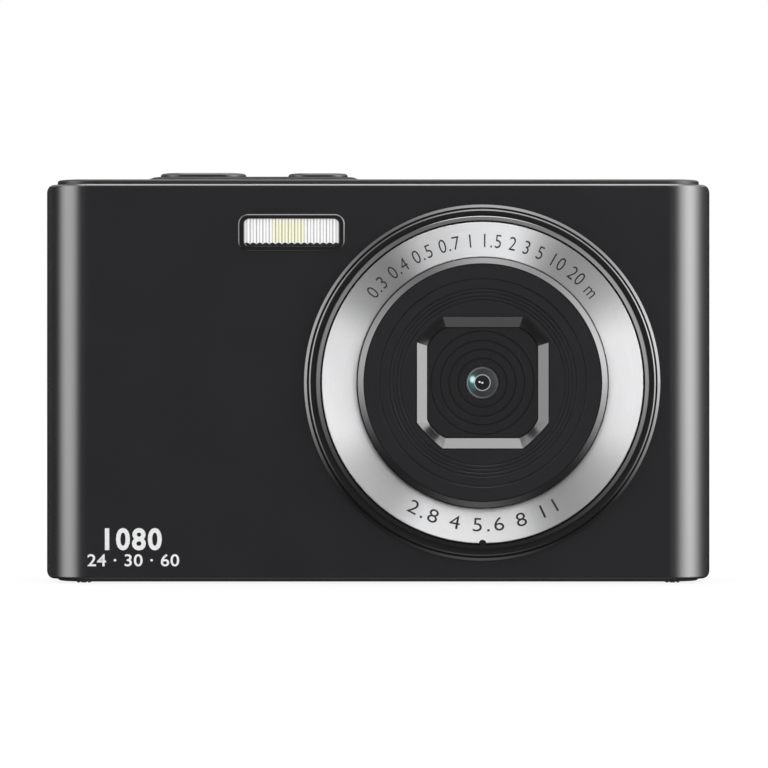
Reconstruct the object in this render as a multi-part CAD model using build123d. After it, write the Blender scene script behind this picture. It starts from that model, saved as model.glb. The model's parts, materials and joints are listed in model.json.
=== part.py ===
"""Compact digital camera: a flat 100 x 60 x 20 mm body with full-height rounded sides, a large stepped lens
surround with a silver face ring, a recessed square lens window, a ribbed lamp window, two top buttons, a rear
display with a key cluster, and a bottom door over the battery.

Frame: millimetres, +X to the right seen from the front, +Y from the lens towards the display, +Z up. The origin is
the centre of the tripod socket's mouth on the bottom face. Each sub-part is written to parts/NODE.step.
"""
from build123d import *

import math
import os

# ---- driving dimensions (mm) ----
BODY_W, BODY_D = 100.0, 20.0          # across X and Y
COVER_LOW, COVER_HIGH = 0.4, 59.5     # the wrap-round covers' lower and upper rims
PLATE_TOP = 60.27                     # top face of the inset top plate
FRONT_R, REAR_R = 6.5, 5.5            # plan radii of the front and rear vertical corners
WALL = 1.5
RIM_ROUND = 0.4                       # rounding on the covers' rims
CORNER_ROUND = 1.4                    # of the body's four corners seen from the front
PLATE_INSET = WALL + 0.1              # top and bottom plates drop in between the covers
PLATE_T = 1.6
FRONT_Y, REAR_Y = -BODY_D / 2, BODY_D / 2
INNER_FRONT, INNER_REAR = FRONT_Y + WALL, REAR_Y - WALL
PART_LINE, PART_GAP = 2.2, 0.1        # plane where the front and back covers meet
GAP = 0.05                            # clearance between neighbours that don't move
SLIDE_GAP = 0.1                       # clearance round a button

LENS_X, LENS_Z = 15.5, 29.8           # lens axis
LAMP_X, LAMP_Z = -12.95, 52.2         # lamp window centre
SHUTTER_X, POWER_X, BUTTON_Y = -26.55, -9.15, 0.0
SHUTTER_SIZE, POWER_SIZE = (13.0, 7.2), (9.0, 5.6)
SHUTTER_TRAVEL, POWER_TRAVEL = 0.9, 0.4
BUTTON_TOP = 61.5

KEYS_X = -33.5                        # centre line of the rear key cluster
NAV_Z, ROCKER_Z = 28.0, 50.5
NAV_R, OK_R = 9.3, 4.1
SCREEN_X, SCREEN_Z = 13.3, 30.0
SCREEN_W, SCREEN_H = 60.6, 47.2

BATTERY_X, BATTERY_Y = -24.6, -3.6
BATTERY_W, BATTERY_T, BATTERY_H, BATTERY_LOW = 31.6, 6.4, 40.4, 2.6
HINGE_X, HINGE_Z = -41.9, 1.0         # battery door pin
DOOR_END = -8.0
DOOR_Y0, DOOR_Y1 = -6.9, 0.0

BOARD_Y0, BOARD_Y1 = 1.6, 2.6         # main board faces
KEYBOARD_Y0, KEYBOARD_Y1 = 4.0, 4.8
USB_Z, CARD_Z = 24.5, 40.0
SIDE_SCREW_Y, SIDE_SCREW_Z = -1.0, (5.0, 55.4)
FOOT_X, FOOT_W, FOOT_L, FOOT_DROP = 44.3, 2.0, 12.0, 0.25
TRIPOD_R = 2.6                        # plain bore of a tapped 1/4 inch tripod hole

parts = {}


# ---- helpers ----
def box(x0, x1, y0, y1, z0, z1):
    return Pos((x0 + x1) / 2, (y0 + y1) / 2, (z0 + z1) / 2) * Box(x1 - x0, y1 - y0, z1 - z0)


def along_x(sketch, y, z, x0, x1):
    """A sketch (first axis Y, second axis Z) centred on (y, z), extruded from x0 to x1."""
    return extrude(Plane.YZ.offset(x0) * Pos(y, z) * sketch, amount=x1 - x0)


def along_y(sketch, x, z, y0, y1):
    """A sketch (first axis X, second axis Z) centred on (x, z), extruded from y0 to y1."""
    return extrude(Plane.XZ.offset(-y1) * Pos(x, z) * sketch, amount=y1 - y0)


def along_z(sketch, x, y, z0, z1):
    return extrude(Plane.XY.offset(z0) * Pos(x, y) * sketch, amount=z1 - z0)


def turned(points, x=LENS_X, z=LENS_Z):
    """A closed (radius, y) outline turned about the axis along Y through (x, z)."""
    return Pos(x, 0, z) * revolve(make_face(Polyline(*points, close=True)), axis=Axis.Y)


def ring(r_in, r_out, y0, y1, x=LENS_X, z=LENS_Z):
    return along_y(Circle(r_out) - Circle(r_in), x, z, y0, y1)


def rounded(width, height, radius):
    return RectangleRounded(width, height, radius)


def end_edges(shape, axis, last=True):
    """All edges lying in the highest (or lowest) plane across an axis."""
    return shape.edges().group_by(axis)[-1 if last else 0]


def plan(inset):
    """The body's outline seen from above, moved inwards by inset."""
    outline = Rectangle(BODY_W - 2 * inset, BODY_D - 2 * inset)
    outline = fillet(outline.vertices().sort_by(Axis.Y)[:2], FRONT_R - inset)
    return fillet(outline.vertices().sort_by(Axis.Y)[-2:], REAR_R - inset)


def window_outline(across, cut, bulge):
    """The lens window's shape: a square with each corner cut off by a shallow arc.

    cut is measured along each side, and bulge is how far the arc stands out from its chord.
    """
    half = across / 2
    lines = []
    for turn in range(4):
        place = Rot(0, 0, 90 * turn)
        middle = half - cut / 2 + bulge / math.sqrt(2)
        lines.append(place * Line((half, cut - half), (half, half - cut)))
        lines.append(place * ThreePointArc((half, half - cut), (middle, middle), (half - cut, half)))
    return make_face(lines)


def screw(head_r, head_h, shank_r, length):
    """A pan head screw with a cross recess: head from z 0 to head_h, shank from there up to z length."""
    body = along_z(Circle(head_r), 0, 0, 0, head_h)
    body = chamfer(end_edges(body, Axis.Z, last=False), 0.12)
    body += along_z(Circle(shank_r), 0, 0, head_h, length)
    slot_w, slot_l, slot_depth = 0.35, 1.4 * head_r, 0.28
    for size in ((slot_w, slot_l), (slot_l, slot_w)):
        body -= along_z(Rectangle(*size), 0, 0, 0, slot_depth)
    return body


# ---- covers ----
def cover_walls():
    outer = along_z(plan(0), 0, 0, COVER_LOW, COVER_HIGH)
    rims = end_edges(outer, Axis.Z) + end_edges(outer, Axis.Z, last=False)
    outer = fillet(rims, RIM_ROUND)
    front_view = rounded(BODY_W, COVER_HIGH - COVER_LOW, CORNER_ROUND)
    outer &= along_y(front_view, 0, (COVER_LOW + COVER_HIGH) / 2, FRONT_Y - 1, REAR_Y + 1)
    return outer - along_z(plan(WALL), 0, 0, COVER_LOW - 1, COVER_HIGH + 1)


SIDE_HEAD_R, SIDE_HEAD_H, SHANK_R, SCREW_L = 1.2, 0.5, 0.7, 3.0
USB_W, USB_T = 8.9, 3.2
CARD_W, CARD_T = 11.0, 1.0
STRAP_Z, STRAP_Y, STRAP_SIZE = 45.0, -0.4, (3.8, 6.4)


def side_screw_places():
    return [(side, z) for side in (-1, 1) for z in SIDE_SCREW_Z]


def front_cover():
    body = cover_walls() & box(-60, 60, FRONT_Y - 1, PART_LINE, -1, 70)
    body -= along_y(Circle(24.95), LENS_X, LENS_Z, FRONT_Y - 1, INNER_FRONT + 1)
    body -= along_y(rounded(15.4, 5.0, 1.15), LAMP_X, LAMP_Z, FRONT_Y - 1, INNER_FRONT + 1)
    half = BODY_W / 2
    for side, z in side_screw_places():
        seat = Rot(0, 90 * side, 0)
        body -= Pos(side * (half - 0.65), SIDE_SCREW_Y, z) * seat * Pos(0, 0, 0.5) * Cylinder(1.3, 1.0)
        body -= Pos(side * half, SIDE_SCREW_Y, z) * seat * Cylinder(0.8, 6)
    body -= along_x(SlotOverall(USB_W + 0.5, USB_T + 0.5, 90), 0.0, USB_Z, half - 3, half + 1)
    body -= along_x(rounded(1.7, 11.8, 0.3), 0.75, CARD_Z, half - 3, half + 1)
    thumb = Pos(half + 0.9, 0.75, CARD_Z) * Rot(90, 0, 0) * Cylinder(3.2, 3.4)
    body -= thumb & box(half - 0.8, half + 1, -2, PART_LINE - 0.5, CARD_Z - 4, CARD_Z + 4)
    body -= along_x(rounded(*STRAP_SIZE, 1.2), STRAP_Y, STRAP_Z, -half - 1, -half + 3)
    return body


KEY_SPREAD = 7.0                      # of the small keys either side of the pad's centre line


def key_places():
    """The four small keys round the pad: name -> (x, z)."""
    return {
        "mode_button": (KEYS_X - KEY_SPREAD, 42.2), "menu_button": (KEYS_X + KEY_SPREAD, 42.2),
        "playback_button": (KEYS_X - KEY_SPREAD, 13.6), "delete_button": (KEYS_X + KEY_SPREAD, 13.6),
    }


KEY_W, KEY_H, KEY_R = 8.0, 4.6, 2.25
KEY_FACE = REAR_Y + 0.55
FLANGE_Y0, FLANGE_Y1 = 7.7, INNER_REAR - 0.08
PAD_KEY_Y0 = FLANGE_Y0 - 0.5          # back of the pad's keys
ROCKER_W, ROCKER_H, ROCKER_AXIS_Y = 14.6, 4.8, 7.2
LIGHT_X, LIGHT_Z, LIGHT_R = -21.6, 36.0, 0.75
ROCKER_OPEN_W = ROCKER_W + 0.7


def back_cover():
    body = cover_walls() & box(-60, 60, PART_LINE + PART_GAP, REAR_Y + 1, -1, 70)
    frame = rounded(SCREEN_W + 0.2, SCREEN_H + 0.2, 2.1)
    body -= along_y(frame, SCREEN_X, SCREEN_Z, REAR_Y - 0.9, REAR_Y + 1)
    body -= along_y(rounded(58.2, 44.2, 0.8), SCREEN_X, SCREEN_Z, 0, REAR_Y + 1)
    for x, z in key_places().values():
        hole = rounded(KEY_W + 2 * SLIDE_GAP, KEY_H + 2 * SLIDE_GAP, KEY_R + SLIDE_GAP)
        body -= along_y(hole, x, z, 5, REAR_Y + 1)
    body -= along_y(Circle(NAV_R + SLIDE_GAP), KEYS_X, NAV_Z, 5, REAR_Y + 1)
    body -= along_y(rounded(ROCKER_OPEN_W, ROCKER_H + 0.3, 1.6), KEYS_X, ROCKER_Z, 5, REAR_Y + 1)
    body -= along_y(Circle(LIGHT_R + GAP), LIGHT_X, LIGHT_Z, 5, REAR_Y + 1)
    # a shallow dish frames the pad, and two lugs inside carry the rocker's trunnions
    dish = turned([(0, REAR_Y - 0.35), (NAV_R + 0.9, REAR_Y - 0.35), (NAV_R + 1.25, REAR_Y + 0.1), (0, REAR_Y + 0.1)],
                  KEYS_X, NAV_Z)
    body -= dish
    for side in (-1, 1):
        z0 = ROCKER_Z + side * (ROCKER_H / 2 + 0.15)
        z1 = z0 + side * 1.3
        lug = box(KEYS_X - 1.1, KEYS_X + 1.1, ROCKER_AXIS_Y - 1.0, INNER_REAR + 0.2, min(z0, z1), max(z0, z1))
        body += lug - Pos(KEYS_X, ROCKER_AXIS_Y, (z0 + z1) / 2) * Cylinder(0.54, 3)
    # thumb rest: three short raised bars
    for step in range(3):
        body += along_y(SlotOverall(9, 0.7), KEYS_X, 5.4 + 1.5 * step, REAR_Y - 0.3, REAR_Y + 0.3)
    return body


# ---- top ----
PAD_X0, PAD_X1, PAD_Y, PAD_TOP = -35.0, -2.7, 5.6, 60.85
MIC_X = 30.0
PLATE_UNDER = PLATE_TOP - PLATE_T - 0.2
PLATE_ROUND = 0.3


def top_cover():
    body = along_z(plan(PLATE_INSET), 0, 0, PLATE_UNDER, PLATE_TOP)
    body = fillet(end_edges(body, Axis.Z), PLATE_ROUND)
    pad = along_z(rounded(PAD_X1 - PAD_X0, 2 * PAD_Y, 4.2), (PAD_X0 + PAD_X1) / 2, BUTTON_Y, PLATE_TOP - 0.3, PAD_TOP)
    body += chamfer(end_edges(pad, Axis.Z), 0.36, 0.9)
    for x, size in ((SHUTTER_X, SHUTTER_SIZE), (POWER_X, POWER_SIZE)):
        hole = SlotOverall(size[0] + 2 * SLIDE_GAP, size[1] + 2 * SLIDE_GAP)
        body -= along_z(hole, x, BUTTON_Y, PLATE_UNDER - 1, PAD_TOP + 1)
    body -= Pos(MIC_X, 0, PLATE_TOP) * Cylinder(0.5, 6)
    for side in (-1, 1):
        tab = box(46.2, 48.3, SIDE_SCREW_Y - 2.0, SIDE_SCREW_Y + 2.0, SIDE_SCREW_Z[1] - 2.4, PLATE_UNDER)
        tab -= Pos(48, SIDE_SCREW_Y, SIDE_SCREW_Z[1]) * Rot(0, 90, 0) * Cylinder(SHANK_R + 0.02, 8)
        body += tab if side > 0 else mirror(tab, Plane.YZ)
    return body


SWITCH_TOP = 56.0
TOP_BOARD_Z0, TOP_BOARD_Z1 = 54.0, 54.8
BUTTON_FLANGE = PLATE_UNDER - 0.7     # underside of the buttons' flanges


def top_button(x, size, travel, stem_r):
    """A stadium cap with a flange that keeps it under the top plate, and a stem over its switch."""
    flange_low, stem_low = BUTTON_FLANGE, SWITCH_TOP + travel + 0.05
    cap = along_z(SlotOverall(*size), x, BUTTON_Y, flange_low, BUTTON_TOP)
    cap = fillet(end_edges(cap, Axis.Z), 0.4)
    cap += along_z(SlotOverall(size[0] + 1.4, size[1] + 1.4), x, BUTTON_Y, flange_low, PLATE_UNDER - GAP)
    cap += along_z(Circle(stem_r), x, BUTTON_Y, stem_low, flange_low)
    return cap


def shutter_spring():
    pitch, wire, radius = 0.62, 0.16, 2.0
    low, high = TOP_BOARD_Z1 + wire + 0.02, BUTTON_FLANGE - wire - 0.02
    path = Helix(pitch, high - low, radius)
    coil = sweep(Plane(path @ 0, z_dir=path % 0) * Circle(wire), path, is_frenet=True)
    return Pos(SHUTTER_X, BUTTON_Y, low) * coil


def top_board():
    board = box(-35, -3, -4.2, 3.4, TOP_BOARD_Z0, TOP_BOARD_Z1)
    board += along_z(Circle(1.5), SHUTTER_X, BUTTON_Y, TOP_BOARD_Z1, SWITCH_TOP - 0.2)
    board += along_z(rounded(4.4, 3.4, 0.3), POWER_X, BUTTON_Y, TOP_BOARD_Z1, SWITCH_TOP - 0.2)
    for x in (SHUTTER_X, POWER_X):
        board += along_z(Circle(0.9), x, BUTTON_Y, TOP_BOARD_Z1, SWITCH_TOP)
    return board


# ---- bottom ----
BOTTOM_SCREWS = [(-36.0, 5.2), (39.0, -5.2), (39.0, 5.2), (12.0, -5.6)]
SPEAKER_X, SPEAKER_Y = 26.0, -3.6
FLANGE_T = 1.0                        # tripod insert's inner flange


def bottom_cover():
    body = along_z(plan(PLATE_INSET), 0, 0, 0, PLATE_T)
    body = fillet(end_edges(body, Axis.Z, last=False), 0.45)
    lug_top, rear_lug = PLATE_T + 0.6, 1.4
    body += box(HINGE_X - 1.3, HINGE_X + 1.3, DOOR_Y0 - 1.1, DOOR_Y0 - 0.1, PLATE_T - 0.2, lug_top)
    body += box(HINGE_X - 1.3, HINGE_X + 1.3, DOOR_Y1 + 0.1, DOOR_Y1 + 0.1 + rear_lug, PLATE_T - 0.2, lug_top)
    body -= box(HINGE_X - 1.1, DOOR_END + 0.1, DOOR_Y0 - 0.1, DOOR_Y1 + 0.1, -1, 4)
    body -= Pos(HINGE_X, -3.3, HINGE_Z) * Rot(90, 0, 0) * Cylinder(0.51, 9.2)
    body -= Cylinder(4.05, 8)
    for x, y in BOTTOM_SCREWS:
        body -= Pos(x, y, 0.35) * Cylinder(1.35, 0.7)
        body -= Pos(x, y, 0) * Cylinder(0.85, 8)
    for side in (-1, 1):
        body -= box(side * FOOT_X - FOOT_W / 2, side * FOOT_X + FOOT_W / 2, -FOOT_L / 2, FOOT_L / 2, -1, 0.5)
        tab = box(46.2, 48.3, SIDE_SCREW_Y - 2.0, SIDE_SCREW_Y + 2.0, PLATE_T, SIDE_SCREW_Z[0] + 2.2)
        tab -= Pos(48, SIDE_SCREW_Y, SIDE_SCREW_Z[0]) * Rot(0, 90, 0) * Cylinder(SHANK_R + 0.02, 8)
        body += tab if side > 0 else mirror(tab, Plane.YZ)
    for step in range(5):
        body -= Pos(SPEAKER_X + 1.9 * (step - 2), SPEAKER_Y, 0) * Cylinder(0.45, 6)
    return body


def foot_pads():
    """Two soft strips let into the bottom plate, each with two grooves along its length."""
    pads = []
    for side in (-1, 1):
        pad = box(side * FOOT_X - FOOT_W / 2, side * FOOT_X + FOOT_W / 2, -FOOT_L / 2, FOOT_L / 2, -FOOT_DROP, 0.5)
        pad = fillet(pad.edges().filter_by(Axis.Z), 0.3)
        for groove in (-0.5, 0.5):
            x = side * FOOT_X + groove
            pad -= box(x - 0.14, x + 0.14, -FOOT_L, FOOT_L, -1, -0.06)
        pads.append(pad)
    return Compound(children=pads)


def tripod_socket():
    """A brass insert with a blind tapped hole and a square flange inside the bottom plate."""
    top = 7.2
    body = along_z(Circle(4.0), 0, 0, 0, top) + box(-5, 5, -5, 5, PLATE_T + 0.02, PLATE_T + 0.02 + FLANGE_T)
    body -= along_z(Circle(TRIPOD_R), 0, 0, -1, top - 0.9)
    mouth = Cone(TRIPOD_R, TRIPOD_R + 0.5, 0.5, rotation=(180, 0, 0))
    return body - Pos(0, 0, 0.25) * mouth


# ---- battery door ----
LATCH_TRAVEL = 1.6
LATCH_Y = (DOOR_Y0 + DOOR_Y1) / 2


def battery_door():
    """The door swings on a pin at its outer end, and a slider at its free end locks it."""
    barrel_r = 0.95
    y0, y1 = DOOR_Y0, DOOR_Y1
    door = box(HINGE_X, DOOR_END, y0, y1, HINGE_Z - barrel_r, 1.25)
    door += Pos(HINGE_X, (y0 + y1) / 2, HINGE_Z) * Rot(90, 0, 0) * Cylinder(barrel_r, y1 - y0)
    door -= Pos(HINGE_X, (y0 + y1) / 2, HINGE_Z) * Rot(90, 0, 0) * Cylinder(0.54, 20)
    door -= box(-14.5, -9.3, LATCH_Y - 1.6, LATCH_Y + 1.6, -1, 0.75)
    door -= box(-13.6, -10.1, LATCH_Y - 0.85, LATCH_Y + 0.85, 0, 3)
    # grip: three fine grooves across the outer face beside the slider
    for step in range(3):
        x = -17.0 - 1.2 * step
        door -= box(x - 0.2, x + 0.2, LATCH_Y - 1.8, LATCH_Y + 1.8, -1, HINGE_Z - barrel_r + 0.2)
    return door


def door_latch():
    knob = box(-14.35, -11.3, LATCH_Y - 1.45, LATCH_Y + 1.45, 0.1, 0.7)
    for step in range(3):
        x = -13.8 + 0.95 * step
        knob -= box(x - 0.16, x + 0.16, LATCH_Y - 2, LATCH_Y + 2, 0, 0.3)
    knob += box(-13.4, -11.9, LATCH_Y - 0.75, LATCH_Y + 0.75, 0.6, 1.5)
    knob += box(-14.4, DOOR_END - LATCH_TRAVEL - 0.1, LATCH_Y - 1.3, LATCH_Y + 1.3, 1.3, 2.2)
    return knob + box(-12, DOOR_END - 0.3, LATCH_Y - 1.3, LATCH_Y + 1.3, 1.68, 2.2)


# ---- lens surround, from the outside in ----
BEZEL_Y = -13.4                       # front lip of the stepped surround
RING_Y = -13.3                        # face of the silver ring
HUB_Y = -14.6                         # front of the raised centre
SHELF_Y, SHELF_R = -12.75, 18.6
NAME_R0, NAME_R1 = 18.66, 23.85
HUB_R, HUB_EDGE_R = 18.52, 17.62
WINDOW_OUT, WINDOW_IN = 19.68, 16.5   # across the funnel's mouth and throat
MOUTH_CORNER, THROAT_CORNER = (3.8, 0.15), (2.8, 0.4)
BAFFLE_Y = -13.35
KEY_NOTCH_R = 0.55


def lens_screw_places():
    for angle in (90, 210, 330):
        a = math.radians(angle)
        yield LENS_X + 21.5 * math.cos(a), LENS_Z + 21.5 * math.sin(a)


def lens_bezel():
    """Black surround: a flange on the cover, a second step, then the barrel that carries the silver ring."""
    body = turned([
        (SHELF_R, SHELF_Y), (NAME_R1, SHELF_Y), (NAME_R1, -11.4), (24.12, -11.4), (24.12, BEZEL_Y),
        (24.65, BEZEL_Y + 0.15), (24.75, BEZEL_Y + 0.27), (24.75, -12.35), (25.58, -12.35), (25.76, -12.25),
        (25.82, -12.15), (25.82, -10.4), (26.1, -10.4), (26.1, -11.1), (26.14, -11.12), (26.54, -10.88),
        (26.6, -10.75), (26.6, FRONT_Y), (24.9, FRONT_Y), (24.9, INNER_FRONT), (23.3, INNER_FRONT),
        (23.3, -12.0), (SHELF_R, -12.0),
    ])
    for x, z in lens_screw_places():
        body += along_y(Circle(1.35) - Circle(SHANK_R + 0.02), x, z, -12.1, INNER_FRONT)
    # the key that turns the silver ring the right way up
    key = along_y(Circle(KEY_NOTCH_R - 0.06), LENS_X, LENS_Z - NAME_R1, SHELF_Y - 0.5, SHELF_Y + 0.1)
    return body + key


def name_ring():
    body = ring(NAME_R0, NAME_R1, RING_Y, SHELF_Y - 0.02)
    body = chamfer(end_edges(body, Axis.Y, last=False), 0.1)
    return body - along_y(Circle(KEY_NOTCH_R), LENS_X, LENS_Z - NAME_R1, RING_Y - 1, SHELF_Y + 1)


def hub_ring():
    """The raised centre's bright rim: a tube with a wide front bevel, held behind the surround's shelf."""
    return turned([
        (HUB_EDGE_R, -11.2), (HUB_EDGE_R, HUB_Y), (HUB_EDGE_R + 0.06, HUB_Y), (HUB_R, HUB_Y + 0.6), (HUB_R, -11.95),
        (19.9, -11.95), (19.9, -11.2),
    ])


FACE_GROOVES = (12.25, 12.8, 13.35, 13.9, 15.4)


def hub_face_plate():
    y0, y1 = HUB_Y + 0.1, HUB_Y + 0.9
    body = along_y(Circle(HUB_EDGE_R - GAP), LENS_X, LENS_Z, y0, y1)
    for r in FACE_GROOVES:
        body -= turned([(r - 0.16, y0 - 0.05), (r + 0.16, y0 - 0.05), (r, y0 + 0.11)])
    return body - along_y(window_outline(WINDOW_OUT + 0.1, *MOUTH_CORNER), LENS_X, LENS_Z, y0 - 1, y1 + 1)


def window_frame():
    """Bright funnel round the recessed lens window."""
    y0, y1 = HUB_Y + 0.05, -12.65
    lens = Pos(LENS_X, 0, LENS_Z)
    body = along_y(window_outline(WINDOW_OUT, *MOUTH_CORNER), LENS_X, LENS_Z, y0, y1)
    mouth = Plane.XZ.offset(-y0 + 0.01) * window_outline(WINDOW_OUT - 0.2, *MOUTH_CORNER)
    throat = Plane.XZ.offset(-BAFFLE_Y) * window_outline(WINDOW_IN, *THROAT_CORNER)
    body -= lens * loft([mouth, throat])
    return body - along_y(window_outline(WINDOW_IN, *THROAT_CORNER), LENS_X, LENS_Z, BAFFLE_Y - 0.01, y1 + 1)


COLLAR_Y = -11.17                     # front of the collar that holds the centre in place
BAFFLE_STEPS = (7.75, 6.35, 5.05, 3.72)
BAFFLE_BACK = -11.9
LENS_HOLE_R = 2.55


def baffle_panel():
    """Black panel behind the window, stepped down in circles to the lens hole, with a groove at each step's foot."""
    body = along_y(window_outline(WINDOW_IN - 0.3, *THROAT_CORNER), LENS_X, LENS_Z, BAFFLE_Y, -12.5)
    rim = HUB_EDGE_R - GAP
    body += along_y(Circle(rim), LENS_X, LENS_Z, -12.62, BAFFLE_BACK)
    body += ring(rim - 0.65, rim, BAFFLE_BACK - 0.1, COLLAR_Y - 0.03)
    for n, r in enumerate(BAFFLE_STEPS):
        floor = BAFFLE_Y + 0.25 * (n + 1)
        body -= turned([
            (0, -14), (r, -14), (r, floor + 0.22), (r - 0.14, floor + 0.22), (r - 0.14, floor), (0, floor),
        ])
    return body - along_y(Circle(LENS_HOLE_R), LENS_X, LENS_Z, -14, -10)


PLATE_Y0, PLATE_Y1 = INNER_FRONT + 0.03, INNER_FRONT + 0.75


def lens_back_plate():
    """Plate that clamps the surround to the front cover, with a collar that holds the raised centre forwards."""
    body = along_y(Circle(26.15), LENS_X, LENS_Z, PLATE_Y0, PLATE_Y1)
    body += ring(16.9, 19.7, COLLAR_Y, PLATE_Y0 + 0.1)
    body -= along_y(Rectangle(9.7, 9.7), LENS_X, LENS_Z, PLATE_Y0 - 1, PLATE_Y1 + 1)
    for x, z in lens_screw_places():
        body -= along_y(Circle(0.85), x, z, PLATE_Y0 - 1, PLATE_Y1 + 1)
    return body


# ---- autofocus module ----
NOSE_R = 2.45                         # the barrel's nose, inside the hole in the baffle panel


def lens_barrel():
    return turned([
        (1.3, -7.2), (1.3, -10.4), (2.1, -11.0), (2.1, -11.55), (2.32, -11.55), (2.32, -12.05), (NOSE_R, -12.05),
        (NOSE_R, -11.35), (3.1, -11.35), (3.1, -7.2),
    ])


def front_element():
    """Plano-convex glass with its dome to the front."""
    curve, front = 12.0, -12.2
    disc = along_y(Circle(2.29), LENS_X, LENS_Z, front - 0.1, -11.57)
    return disc & (Pos(LENS_X, front + curve, LENS_Z) * Sphere(curve))


def rear_elements():
    """Three small moulded lenses stacked in the barrel."""
    lenses = []
    for n, curve in enumerate((4.0, 5.0, 4.5)):
        y = -10.2 + 0.95 * n
        disc = along_y(Circle(1.27), LENS_X, LENS_Z, y, y + 0.7)
        lenses.append(disc & (Pos(LENS_X, y + curve, LENS_Z) * Sphere(curve)))
    return Compound(children=lenses)


def focus_coil():
    return ring(3.12, 3.95, -10.5, -8.0)


CAN = 4.8                             # half width of the module's can


def focus_housing():
    body = along_y(rounded(2 * CAN, 2 * CAN, 0.5), LENS_X, LENS_Z, -11.2, -6.7)
    body -= along_y(Rectangle(9.0, 9.0), LENS_X, LENS_Z, -10.9, -6)
    return body - along_y(Circle(3.4), LENS_X, LENS_Z, -12, -10)


def focus_magnets():
    bars = []
    for turn in range(4):
        bar = box(4.12, 4.48, -10.4, -7.6, -2.4, 2.4)
        bars.append(Pos(LENS_X, 0, LENS_Z) * Rot(0, 90 * turn, 0) * bar)
    return Compound(children=bars)


def module_base():
    body = along_y(rounded(2 * CAN, 2 * CAN, 0.5), LENS_X, LENS_Z, -6.68, -5.3)
    body -= along_y(Rectangle(5.3, 5.3), LENS_X, LENS_Z, -7, -6.35)
    body -= along_y(Rectangle(4.4, 4.4), LENS_X, LENS_Z, -7, -5)
    return body - along_y(Rectangle(7.0, 7.0), LENS_X, LENS_Z, -6.0, -5)


def sensor_board():
    board = box(LENS_X - 5, LENS_X + 5, -5.28, -4.5, LENS_Z - 9, LENS_Z + 5)
    return board + box(LENS_X - 3.5, LENS_X + 3.5, -4.6, -3.6, LENS_Z - 8.4, LENS_Z - 6.2)


# ---- lamp ----
def lamp_bezel():
    body = along_y(rounded(16.0, 5.6, 1.5), LAMP_X, LAMP_Z, FRONT_Y - 0.3, FRONT_Y)
    body = fillet(end_edges(body, Axis.Y, last=False), 0.28)
    body += along_y(rounded(15.3, 4.9, 1.1), LAMP_X, LAMP_Z, FRONT_Y, -8.22)
    return body - along_y(rounded(14.25, 4.15, 0.85), LAMP_X, LAMP_Z, -11, -8)


RIB_PITCH, RIB_COUNT = 0.95, 15


def lamp_window():
    """Diffuser with upright half-round ribs on its face, and a flange behind the surround."""
    face, back = -9.6, -8.2
    half = RIB_PITCH * RIB_COUNT / 2
    lines = [Line((-half, face), (-half, back)), Line((-half, back), (half, back)), Line((half, back), (half, face))]
    for n in range(RIB_COUNT):
        x = half - RIB_PITCH * n
        lines.append(ThreePointArc((x, face), (x - RIB_PITCH / 2, face - 0.3), (x - RIB_PITCH, face)))
    ribbed = Pos(LAMP_X, 0, LAMP_Z - 3) * extrude(make_face(lines), amount=6)
    body = ribbed & along_y(rounded(14.15, 4.05, 0.8), LAMP_X, LAMP_Z, -11, back)
    # the lower edge is cut at 45 degrees, which scallops it against the ribs
    body -= Pos(LAMP_X, face - 0.3, LAMP_Z - 2.02) * Rot(45, 0, 0) * Box(20, 0.75, 0.75)
    return body + along_y(rounded(15.3, 4.9, 1.1), LAMP_X, LAMP_Z, back, -7.75)


def lamp_reflector():
    body = along_y(rounded(15.3, 4.9, 1.1), LAMP_X, LAMP_Z, -7.73, -6.05)
    wide = Plane.XZ.offset(7.74) * rounded(13.6, 3.9, 1.0)
    narrow = Plane.XZ.offset(6.04) * rounded(6.4, 2.9, 0.4)
    return body - Pos(LAMP_X, 0, LAMP_Z) * loft([wide, narrow])


def lamp_board():
    """Small board with two power LED packages facing forwards."""
    board = box(LAMP_X - 7.6, LAMP_X + 7.6, -6.03, -5.3, LAMP_Z - 2.7, LAMP_Z + 2.7)
    for side in (-1, 1):
        x = LAMP_X + side * 1.4
        board += box(x - 1.2, x + 1.2, -6.6, -6.0, LAMP_Z - 1.3, LAMP_Z + 1.3)
    return board


# ---- display and keys ----
def screen_window():
    body = along_y(rounded(SCREEN_W, SCREEN_H, 2.0), SCREEN_X, SCREEN_Z, REAR_Y - 0.88, REAR_Y - 0.02)
    return chamfer(end_edges(body, Axis.Y), 0.12)


def screen_module():
    """Display panel in its metal backlight tray, whose rim stands a little behind the panel's face."""
    panel = box(SCREEN_X - 29.4, SCREEN_X + 29.4, 7.0, 8.45, SCREEN_Z - 22.9, SCREEN_Z + 22.9)
    return panel + box(SCREEN_X - 29.9, SCREEN_X + 29.9, 5.6, 7.9, SCREEN_Z - 23.3, SCREEN_Z + 23.3)


def rear_key(x, z):
    cap = along_y(rounded(KEY_W, KEY_H, KEY_R), x, z, FLANGE_Y0, KEY_FACE)
    cap = fillet(end_edges(cap, Axis.Y), 0.28)
    return cap + along_y(rounded(KEY_W + 1.0, KEY_H + 1.2, KEY_R + 0.5), x, z, FLANGE_Y0, FLANGE_Y1)


def ok_button():
    cap = along_y(Circle(OK_R), KEYS_X, NAV_Z, PAD_KEY_Y0, KEY_FACE + 0.1)
    cap = fillet(end_edges(cap, Axis.Y), 0.35)
    return cap + along_y(Circle(OK_R + 0.8), KEYS_X, NAV_Z, PAD_KEY_Y0, PAD_KEY_Y0 + 0.45)


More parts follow.
